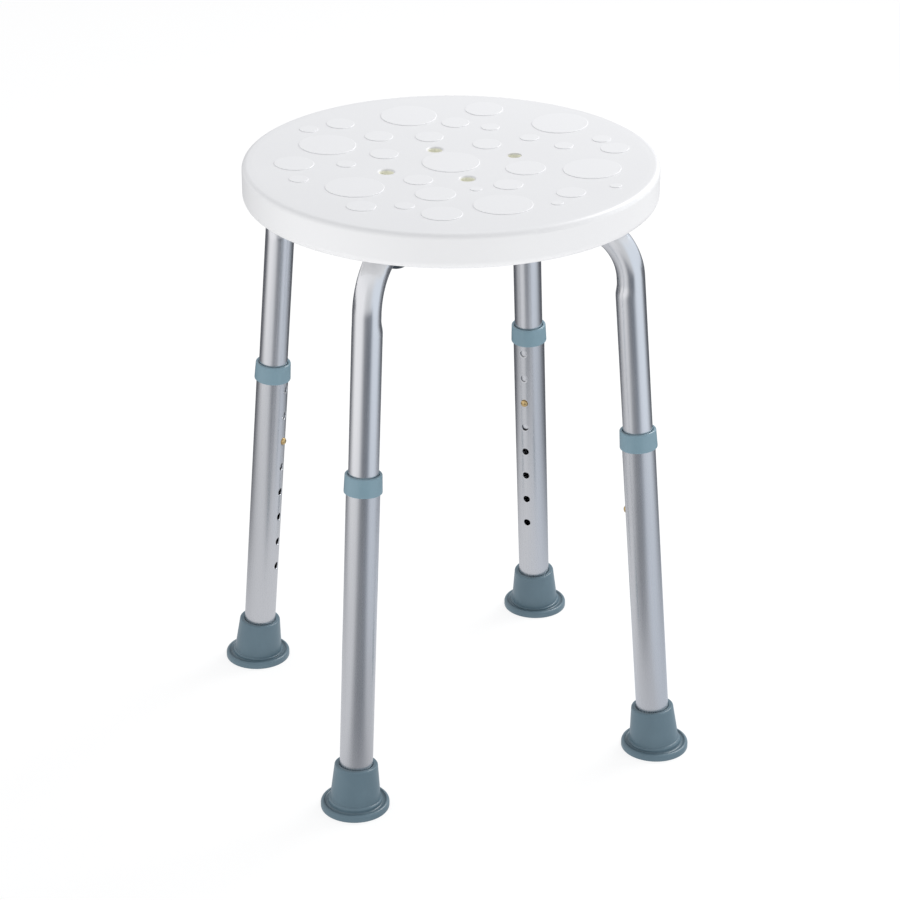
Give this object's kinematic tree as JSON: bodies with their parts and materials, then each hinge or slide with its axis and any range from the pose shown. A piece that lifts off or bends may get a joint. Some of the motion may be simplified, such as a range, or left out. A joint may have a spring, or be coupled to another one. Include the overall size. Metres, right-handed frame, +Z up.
{
  "type": "shower stool",
  "caption": "Backless round shower stool: moulded white seat with drain holes on splayed telescopic aluminium legs with snap buttons and rubber feet.",
  "frame": {"origin": "on the floor, under the middle of the seat", "axes": "+Z up; the legs stand on the diagonals between X and Y, and the four drain holes lie on the X and Y axes"},
  "size_m": [0.345, 0.345, 0.5118],
  "materials": {
    "seat_plastic": "white blow-moulded polyethylene, satin",
    "bracket_plastic": "dark slate moulded plastic",
    "screw_steel": "plated steel",
    "upper_aluminium": "anodised, semi-bright",
    "spring_steel": "blued spring strip",
    "button_brass": "polished",
    "lower_aluminium": "anodised, satin",
    "collar_plastic": "blue-grey moulded plastic",
    "foot_rubber": "slate blue-grey, matt",
    "washer_steel": "plated steel"
  },
  "bodies": {
    "frame": {"seat": "seat_plastic", "centre_hub": "bracket_plastic", "hub_screw": "screw_steel", "saddle_screws": "screw_steel", "saddle_clamp_front_left": "bracket_plastic", "saddle_clamp_front_right": "bracket_plastic", "saddle_clamp_back_right": "bracket_plastic", "saddle_clamp_back_left": "bracket_plastic", "upper_leg_tube_front_left": "upper_aluminium", "upper_leg_tube_front_right": "upper_aluminium", "upper_leg_tube_back_right": "upper_aluminium", "upper_leg_tube_back_left": "upper_aluminium", "spring_clip_front_left": "spring_steel", "spring_clip_front_right": "spring_steel", "spring_clip_back_right": "spring_steel", "spring_clip_back_left": "spring_steel"},
    "lower_leg_front_left": {"lower_leg_tube_front_left": "lower_aluminium", "collar_front_left": "collar_plastic", "foot_front_left": "foot_rubber", "foot_washer_front_left": "washer_steel"},
    "lower_leg_front_right": {"lower_leg_tube_front_right": "lower_aluminium", "collar_front_right": "collar_plastic", "foot_front_right": "foot_rubber", "foot_washer_front_right": "washer_steel"},
    "lower_leg_back_right": {"lower_leg_tube_back_right": "lower_aluminium", "collar_back_right": "collar_plastic", "foot_back_right": "foot_rubber", "foot_washer_back_right": "washer_steel"},
    "lower_leg_back_left": {"lower_leg_tube_back_left": "lower_aluminium", "collar_back_left": "collar_plastic", "foot_back_left": "foot_rubber", "foot_washer_back_left": "washer_steel"},
    "button_front_left": {"snap_button_front_left": "button_brass"},
    "button_front_right": {"snap_button_front_right": "button_brass"},
    "button_back_right": {"snap_button_back_right": "button_brass"},
    "button_back_left": {"snap_button_back_left": "button_brass"}
  },
  "joints": [
    {"name": "height_front_left", "type": "slide", "parent": "frame", "child": "lower_leg_front_left", "axis": [-0.0576, -0.0576, -0.9967], "range_m": [-0.127, 0.0508], "deforming": ["snap_button_front_left", "spring_clip_front_left"]},
    {"name": "height_front_right", "type": "slide", "parent": "frame", "child": "lower_leg_front_right", "axis": [0.0576, -0.0576, -0.9967], "range_m": [-0.127, 0.0508], "deforming": ["snap_button_front_right", "spring_clip_front_right"]},
    {"name": "height_back_right", "type": "slide", "parent": "frame", "child": "lower_leg_back_right", "axis": [0.0576, 0.0576, -0.9967], "range_m": [-0.127, 0.0508], "deforming": ["snap_button_back_right", "spring_clip_back_right"]},
    {"name": "height_back_left", "type": "slide", "parent": "frame", "child": "lower_leg_back_left", "axis": [-0.0576, 0.0576, -0.9967], "range_m": [-0.127, 0.0508], "deforming": ["snap_button_back_left", "spring_clip_back_left"]},
    {"name": "button_press_front_left", "type": "slide", "parent": "frame", "child": "button_front_left", "axis": [-0.7048, -0.7048, 0.0814], "range_m": [0, 0.0042], "stiffness_N_per_m": 1500, "springref_m": -0.002, "deforming": ["spring_clip_front_left"]},
    {"name": "button_press_front_right", "type": "slide", "parent": "frame", "child": "button_front_right", "axis": [0.7048, -0.7048, 0.0814], "range_m": [0, 0.0042], "stiffness_N_per_m": 1500, "springref_m": -0.002, "deforming": ["spring_clip_front_right"]},
    {"name": "button_press_back_right", "type": "slide", "parent": "frame", "child": "button_back_right", "axis": [0.7048, 0.7048, 0.0814], "range_m": [0, 0.0042], "stiffness_N_per_m": 1500, "springref_m": -0.002, "deforming": ["spring_clip_back_right"]},
    {"name": "button_press_back_left", "type": "slide", "parent": "frame", "child": "button_back_left", "axis": [-0.7048, 0.7048, 0.0814], "range_m": [0, 0.0042], "stiffness_N_per_m": 1500, "springref_m": -0.002, "deforming": ["spring_clip_back_left"]}
  ]
}
